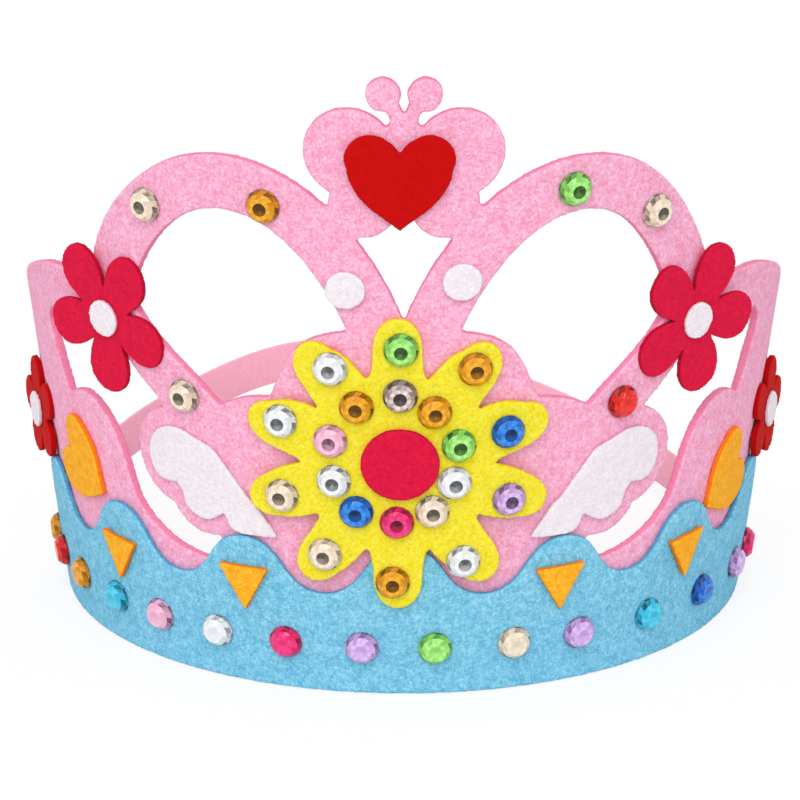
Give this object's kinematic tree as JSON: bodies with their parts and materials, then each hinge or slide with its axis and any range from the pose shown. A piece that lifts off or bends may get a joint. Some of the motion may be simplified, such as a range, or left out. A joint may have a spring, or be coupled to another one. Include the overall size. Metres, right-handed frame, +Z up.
{
  "type": "felt crown",
  "caption": "Child's dress-up crown of cut felt: scalloped band, looped arches, butterfly, flowers, hearts, wings and flat-backed gems on a felt half ring closed by an elastic strap.",
  "frame": {"origin": "on the axis of the head opening, level with the felt's bottom edge, where the crown stands", "axes": "+Z up through the head opening, -Y to the front of the crown where the big flower is, +X to the wearer's left, which is the right in the picture"},
  "size_m": [0.1866, 0.1878, 0.1511],
  "materials": {
    "pink_felt": "soft felt",
    "blue_felt": "soft felt",
    "yellow_felt": "soft felt",
    "rose_felt": "soft felt",
    "red_felt": "soft felt",
    "orange_felt": "soft felt",
    "white_felt": "soft felt",
    "pink_elastic": "smooth woven elastic",
    "gem_clear": "faceted, glossy",
    "gem_champagne": "faceted, glossy",
    "gem_amber": "faceted, glossy",
    "gem_green": "faceted, glossy",
    "gem_blue": "faceted, glossy",
    "gem_lilac": "faceted, glossy",
    "gem_smoke": "faceted, glossy",
    "gem_pink": "faceted, glossy",
    "gem_magenta": "faceted, glossy",
    "gem_red": "faceted, glossy",
    "gem_aqua": "faceted, glossy"
  },
  "bodies": {
    "root": {"arch_dot_left": "white_felt", "arch_dot_right": "white_felt", "big_flower": "yellow_felt", "big_flower_centre": "rose_felt", "crown_band": "blue_felt", "crown_felt": "pink_felt", "gem_arch_1_champagne": "gem_champagne", "gem_arch_2_amber": "gem_amber", "gem_arch_3_champagne": "gem_champagne", "gem_arch_4_green": "gem_green", "gem_arch_5_champagne": "gem_champagne", "gem_arch_6_red": "gem_red", "gem_band_01_red": "gem_red", "gem_band_02_amber": "gem_amber", "gem_band_03_aqua": "gem_aqua", "gem_band_04_pink": "gem_pink", "gem_band_05_clear": "gem_clear", "gem_band_06_magenta": "gem_magenta", "gem_band_07_lilac": "gem_lilac", "gem_band_08_green": "gem_green", "gem_band_09_champagne": "gem_champagne", "gem_band_10_lilac": "gem_lilac", "gem_band_11_aqua": "gem_aqua", "gem_band_12_blue": "gem_blue", "gem_band_13_lilac": "gem_lilac", "gem_band_14_magenta": "gem_magenta", "gem_band_15_amber": "gem_amber", "gems_inner_amber": "gem_amber", "gems_inner_blue": "gem_blue", "gems_inner_champagne": "gem_champagne", "gems_inner_clear": "gem_clear", "gems_inner_green": "gem_green", "gems_inner_magenta": "gem_magenta", "gems_inner_pink": "gem_pink", "gems_inner_smoke": "gem_smoke", "gems_outer_amber": "gem_amber", "gems_outer_blue": "gem_blue", "gems_outer_champagne": "gem_champagne", "gems_outer_clear": "gem_clear", "gems_outer_green": "gem_green", "gems_outer_lilac": "gem_lilac", "head_strap": "pink_elastic", "rose_dot_left": "white_felt", "rose_dot_right": "white_felt", "rose_left": "rose_felt", "rose_right": "rose_felt", "side_flower_dot_left": "white_felt", "side_flower_dot_right": "white_felt", "side_flower_left": "red_felt", "side_flower_right": "red_felt", "side_heart_left": "orange_felt", "side_heart_right": "orange_felt", "top_heart": "red_felt", "triangle_inner_left": "orange_felt", "triangle_inner_right": "orange_felt", "triangle_outer_left": "orange_felt", "triangle_outer_right": "orange_felt", "wing_left": "white_felt", "wing_right": "white_felt"}
  },
  "joints": []
}
